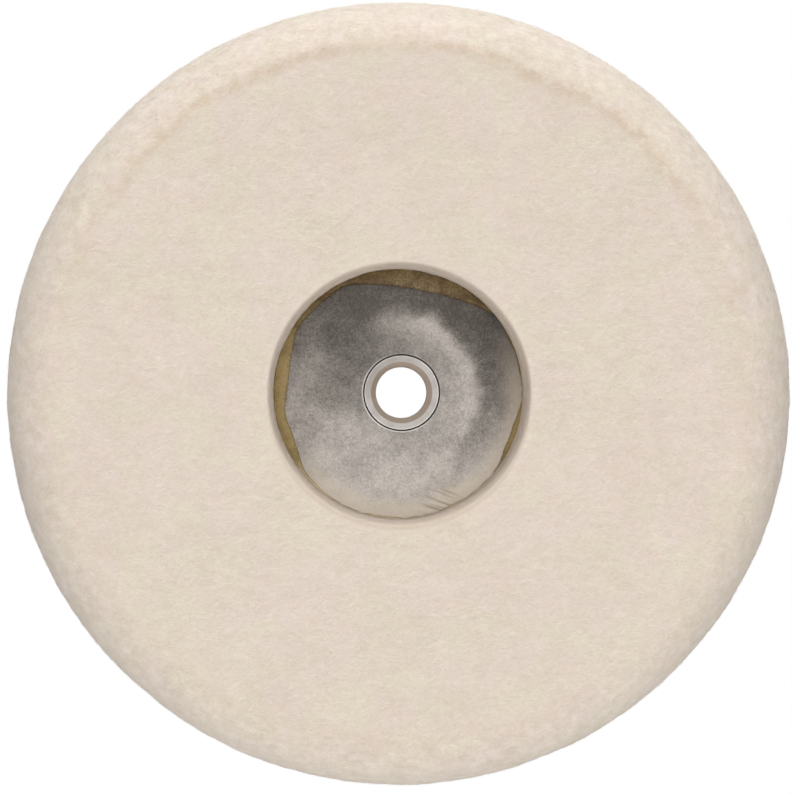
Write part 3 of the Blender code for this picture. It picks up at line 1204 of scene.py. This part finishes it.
def plate_darkness(tree, place, tones, wander, on_front):
    """How dark the steel is: tarnish with painted shade and reflection, and a smudge, in front; clouds
    behind; grain on both.
    """
    dark = maths(tree, "MULTIPLY", tarnish_shade_and_reflection_mask(tree, place, wander), on_front)
    smudge = maths(tree, "MULTIPLY_ADD", wander, 0.3, away_from(tree, place, SMUDGE_X, 0))
    smudge = maths(tree, "MULTIPLY", remap(tree, smudge, 1 * MM, 7 * MM, 0.13, 0.0), on_front)
    dark = maths(tree, "ADD", dark, smudge)
    fine = cloudy(tree, place, 2.6 * MM, 0.9 * MM)
    layers = (
        (tones["Cloud"], -0.05, 0.05),
        (fine["Cloud"], -0.05, 0.06),
        (fine["Grain"], -0.07, 0.07),
        (tones["Grain"], -0.12, 0.12),
    )
    for layer, paler, darker in layers:
        dark = maths(tree, "ADD", dark, vary(tree, layer, paler, darker))
    on_back = maths(tree, "SUBTRACT", 1.0, on_front)
    tarnish = remap(tree, tones["Cloud"], 0.34, 0.70, 0.0, BACK_TARNISH)
    return maths(tree, "ADD", dark, maths(tree, "MULTIPLY", tarnish, on_back), clamp=True)


# %% Masks of the plate's painted light by the wall, scratches and punched edge
WALL_LIGHT_WIDTH = 6 * MM
SCRATCH_X = 9 * MM
SCRATCH_Z = -26 * MM
SCRATCH_TURN = -18
SCRATCH_LONG = 0.045
SCRATCH_WIDTH = 0.36 * MM


def wall_light_mask(tree, place, wander):
    """Painted light that lifts the steel out of the wall's shade: by the recess's wall, to the lower
    right.
    """
    across, _ = felt_distance(tree, place)
    near_wall = maths(tree, "MULTIPLY_ADD", wander, 0.25, across)
    wall_light = remap(tree, near_wall, recess_radius - WALL_LIGHT_WIDTH, recess_radius)
    lower_right = leaning_height(tree, place, -60)
    return maths(tree, "MULTIPLY", wall_light, remap(tree, lower_right, -4 * MM, 14 * MM))


def scratch_mask(tree, place):
    """Thin brown scratches side by side, in a small patch near the recess's wall."""
    from_patch = away_from(tree, place, SCRATCH_X, SCRATCH_Z)
    patch = remap(tree, from_patch, 1.5 * MM, 6.5 * MM, 1.0, 0.0)
    tilted = turn_round(tree, place, SCRATCH_TURN)
    lines_at = vector_maths(tree, "MULTIPLY", tilted, (SCRATCH_LONG, 1, 1))
    lines = remap(tree, cloud(tree, lines_at, SCRATCH_WIDTH, detail=0.0), 0.50, 0.70)
    return maths(tree, "MULTIPLY", lines, patch)


def punched_highlight_mask(tree, place, from_hub):
    """The bright rim of the hole: burnished, with a painted highlight strongest to the lower left."""
    punched = remap(tree, from_hub, hole_radius + 0.25 * MM, hole_radius + 0.45 * MM, 0.6, 0.0)
    lower_left = leaning_height(tree, place, 215)
    return maths(tree, "MULTIPLY", punched, remap(tree, lower_left, -5 * MM, 5 * MM, 0.15, 1.0))


# %% Material of the plate
WANDER = 24 * MM
WALL_LIGHT_SHARE = 0.65
SCRATCH_SHARE = 0.5


def plate_finish():
    tree, shader, place = new_finish("tarnished_steel", [plate], Metallic=0.75)
    tones = cloudy(tree, place, 8 * MM, 0.42 * MM)
    marks = use_group(tree, turning_marks, {"Place": place, "Spacing": 0.3 * MM})["Mark"]
    wander = maths(tree, "MULTIPLY", maths(tree, "SUBTRACT", tones["Cloud"], 0.5), WANDER)
    depth = pick_axis(tree, place, "Y")
    on_front = remap(tree, depth, plate_front_y + 0.5 * MM, plate_front_y + 1 * MM, 1.0, 0.0)
    from_hub = from_axis(tree, place)

    dark = plate_darkness(tree, place, tones, wander, on_front)
    colour = blend_colours(tree, dark, STEEL_PALE, STEEL_DARK)
    wall_light = maths(tree, "MULTIPLY", wall_light_mask(tree, place, wander), on_front)
    # Painted light: the steel by the recess's wall is made paler.
    colour = blend_colours(tree, maths(tree, "MULTIPLY", wall_light, WALL_LIGHT_SHARE), colour, STEEL_PAINTED_LIGHT)
    scratches = maths(tree, "MULTIPLY", scratch_mask(tree, place), on_front)
    colour = blend_colours(tree, maths(tree, "MULTIPLY", scratches, SCRATCH_SHARE), colour, BROWN)
    # Burnished rim of the hole, with a painted highlight.
    colour = blend_colours(tree, punched_highlight_mask(tree, place, from_hub), colour, STEEL_BRIGHT)
    in_joint = remap(tree, from_hub, hole_radius, hole_radius + 0.08 * MM, 1.0, 0.0)
    colour = blend_colours(tree, in_joint, colour, JOINT_DARK)
    tree.links.new(colour, shader["Base Color"])

    tree.links.new(remap(tree, dark, 0.0, 1.0, 0.50, 0.65), shader["Roughness"])
    relief = maths(tree, "MULTIPLY_ADD", marks, 0.3, tones["Grain"])
    put_relief(tree, shader, relief, 0.04 * MM, 0.6)


plate_finish()

# %% Colours of the hub, and where they show
HUB_BRIGHT = (0.97, 0.96, 0.95, 1)
HUB_DULL = (0.88, 0.865, 0.85, 1)
HUB_PAINTED_SHADE = (0.56, 0.535, 0.51, 1)
BORE_PAINTED_SHADE = (0.45, 0.36, 0.28, 1)
SECTOR_SIZE = 0.45
SECTOR_PAINTED_SHADE = 0.25
UPPER_PAINTED_SHADE = 0.6


def painted_hub_shade(tree, place):
    """Painted shade and reflection: darker sectors round the hub, and a darker upper part."""
    flat = vector_maths(tree, "MULTIPLY", place, LEVEL)
    heading = add_node(tree, "ShaderNodeVectorMath", {0: flat}, operation="NORMALIZE").outputs[0]
    sectors = remap(tree, cloud(tree, heading, SECTOR_SIZE, detail=1.0), 0.36, 0.64, 0.0, SECTOR_PAINTED_SHADE)
    upwards = remap(tree, leaning_height(tree, heading, 112), -0.1, 1.0, 0.0, UPPER_PAINTED_SHADE)
    return maths(tree, "ADD", sectors, upwards)


def behind_mouth(tree, place, distance):
    """1 on the spigot's outside behind its swaged front, where the joint is dark."""
    outside = remap(tree, distance, spigot_radius - 0.04 * MM, spigot_radius - 0.01 * MM)
    start = spigot_front_y + 0.04 * MM
    full = spigot_front_y + 0.1 * MM
    behind = band(tree, pick_axis(tree, place, "Y"), start, full, flange_front_y, flange_back_y)
    return maths(tree, "MULTIPLY", outside, behind)


# %% Material of the hub
def hub_finish():
    tree, shader, place = new_finish("turned_steel", [hub], Metallic=0.62)
    marks = use_group(tree, turning_marks, {"Place": place, "Spacing": 0.12 * MM})["Mark"]
    tones = cloudy(tree, place, 5 * MM, 0.4 * MM)
    clouds = remap(tree, tones["Cloud"], 0.35, 0.75, 0.0, 0.5)
    rings = remap(tree, marks, 0.3, 0.7, -0.1, 0.3)
    dull = maths(tree, "ADD", clouds, rings, clamp=True)
    colour = blend_colours(tree, dull, HUB_BRIGHT, HUB_DULL)
    # Painted shade and reflection on the hub.
    colour = blend_colours(tree, painted_hub_shade(tree, place), colour, HUB_PAINTED_SHADE)
    distance = from_axis(tree, place)
    thread_end = THREAD_ROOT_RADIUS + 0.15 * MM
    # Painted shade and reflection: the thread in the bore is made brown.
    in_bore = remap(tree, distance, THREAD_ROOT_RADIUS, thread_end, 0.8, 0.0)
    colour = blend_colours(tree, in_bore, colour, BORE_PAINTED_SHADE)
    colour = blend_colours(tree, behind_mouth(tree, place, distance), colour, JOINT_DARK)
    tree.links.new(colour, shader["Base Color"])
    tree.links.new(remap(tree, dull, 0.0, 1.0, 0.40, 0.52), shader["Roughness"])
    put_relief(tree, shader, marks, 0.02 * MM, 0.4)


hub_finish()
print("steel finishes:", [m.name for m in bpy.data.materials if m.name.endswith("steel")])

# %% [markdown]
# ### The glue
#
# Cured contact glue is an olive-brown skin with little shine. It is browner towards the top,
# for the thick bead there and for painted shade, and a thin pale line at the bottom, where
# little was squeezed out. Its tone is mottled, and dust makes it grainy.

# %% Material of the glue
GLUE_OLIVE = (0.42, 0.315, 0.135, 1)
GLUE_BROWN = (0.120, 0.072, 0.026, 1)
GLUE_THIN = (0.86, 0.72, 0.50, 1)
UP = 90


def glue_finish():
    tree, shader, place = new_finish(
        "cured_glue",
        [glue],
        Coat_Weight=0.05,
        Coat_Roughness=0.3,
        Specular_IOR_Level=0.3,
    )
    tones = cloudy(tree, place, 3.5 * MM, 0.4 * MM)
    height = leaning_height(tree, place, UP)
    # Browner towards the top: partly the thick bead, partly painted shade.
    browner_and_shaded_above = remap(tree, height, 6 * MM, 22 * MM, 0.0, 0.75)
    mottled = remap(tree, tones["Cloud"], 0.38, 0.68, 0.0, 0.35)
    dusty = remap(tree, tones["Grain"], 0.3, 0.7, -0.25, 0.25)
    share = maths(tree, "ADD", maths(tree, "ADD", browner_and_shaded_above, mottled), dusty, clamp=True)
    colour = blend_colours(tree, share, GLUE_OLIVE, GLUE_BROWN)
    thinner = remap(tree, height, -14 * MM, -23 * MM, 0.0, 0.9)
    tree.links.new(blend_colours(tree, thinner, colour, GLUE_THIN), shader["Base Color"])
    tree.links.new(remap(tree, tones["Grain"], 0.3, 0.7, 0.4, 0.6), shader["Roughness"])
    put_relief(tree, shader, tones["Cloud"], 0.2 * MM, 0.5)


glue_finish()
print("materials so far:", len(bpy.data.materials))

# %% [markdown]
# ## Camera, light and floor
#
# The wheel is seen straight on, from about a metre away. A large soft lamp above and in
# front models the felt: the top of the edge is brightest and the sides fall off. A weak
# one from below stands for light that comes back from a white table, and one behind shows
# the back. The pale floor glows faintly where the camera sees it, so that it stays plain.

# %% Camera
CAMERA_DISTANCE = 0.95
CAMERA_SIDE = -0.010
VIEW_WIDTH = 0.1808
AIM_X = -0.0014
AIM_Z = -0.0010

camera_data = bpy.data.cameras.new("camera")
camera = bpy.data.objects.new("camera", camera_data)
bpy.context.scene.collection.objects.link(camera)
camera.location = (CAMERA_SIDE, face_y - CAMERA_DISTANCE, 0)
aim = Vector((AIM_X, widest_y, AIM_Z))
camera.rotation_euler = (aim - camera.location).to_track_quat("-Z", "Y").to_euler()
camera_data.lens = camera_data.sensor_width * (aim - camera.location).length / VIEW_WIDTH
camera_data.clip_start = 0.01
bpy.context.scene.camera = camera
print("lens in mm:", round(camera_data.lens, 1))


# %% Lights
def soft_lamp(name, place, width, height, power):
    """A rectangular lamp that points at the wheel."""
    lamp_data = bpy.data.lights.new(name, "AREA")
    lamp_data.shape = "RECTANGLE"
    lamp_data.size = width
    lamp_data.size_y = height
    lamp_data.energy = power
    lamp = bpy.data.objects.new(name, lamp_data)
    bpy.context.scene.collection.objects.link(lamp)
    lamp.location = place
    lamp.rotation_euler = (-Vector(place)).to_track_quat("-Z", "Y").to_euler()
    lamp.visible_camera = False


# Each lamp: its name, place, width, height and power in watts.
LAMPS = (
    ("lamp_above", (0, -0.1, 1.6), 1.4, 0.7, 17.4),
    ("lamp_front", (0.05, -1.8, 0.05), 1.2, 1.2, 19.4),
    ("lamp_below", (0, -0.6, -0.9), 1.2, 0.8, 0.5),
    ("lamp_behind", (0.3, 1.6, 0.7), 1.2, 1.0, 12),
)
for name, place, width, height, power in LAMPS:
    soft_lamp(name, place, width, height, power)
print("lamps:", [name for name, *_ in LAMPS])

# %% White surroundings
SKY_LIGHT = 0.33
SKY_SEEN = 1.0
WHITE = (1, 1, 1, 1)

world = bpy.data.worlds.new("studio")
bpy.context.scene.world = world
world.use_nodes = True
sky = world.node_tree
for old in list(sky.nodes):
    sky.nodes.remove(old)
seen = add_node(sky, "ShaderNodeLightPath").outputs["Is Camera Ray"]
lighting = add_node(sky, "ShaderNodeBackground", {"Color": WHITE, "Strength": SKY_LIGHT})
backdrop = add_node(sky, "ShaderNodeBackground", {"Color": WHITE, "Strength": SKY_SEEN})
skies = {0: seen, 1: lighting.outputs[0], 2: backdrop.outputs[0]}
either = add_node(sky, "ShaderNodeMixShader", skies)
add_node(sky, "ShaderNodeOutputWorld", {"Surface": either.outputs[0]})

# %% A pale floor
FLOOR_Z = -1.1
FLOOR_SIZE = 18
FLOOR_PALE = (0.85, 0.85, 0.85, 1)
FLOOR_GLOW = 0.3

deselect_all()
bpy.ops.mesh.primitive_plane_add(size=FLOOR_SIZE, location=(0, 0, FLOOR_Z))
floor = name_piece(bpy.context.object, "floor")
floor_tree, floor_shader, _ = new_finish("pale_floor", [floor], Roughness=0.8)
floor_shader["Base Color"].default_value = FLOOR_PALE
floor_shader["Emission Color"].default_value = WHITE
floor_seen = add_node(floor_tree, "ShaderNodeLightPath").outputs["Is Camera Ray"]
floor_glow = maths(floor_tree, "MULTIPLY", floor_seen, FLOOR_GLOW)
floor_tree.links.new(floor_glow, floor_shader["Emission Strength"])
bpy.context.scene.view_settings.view_transform = "Standard"
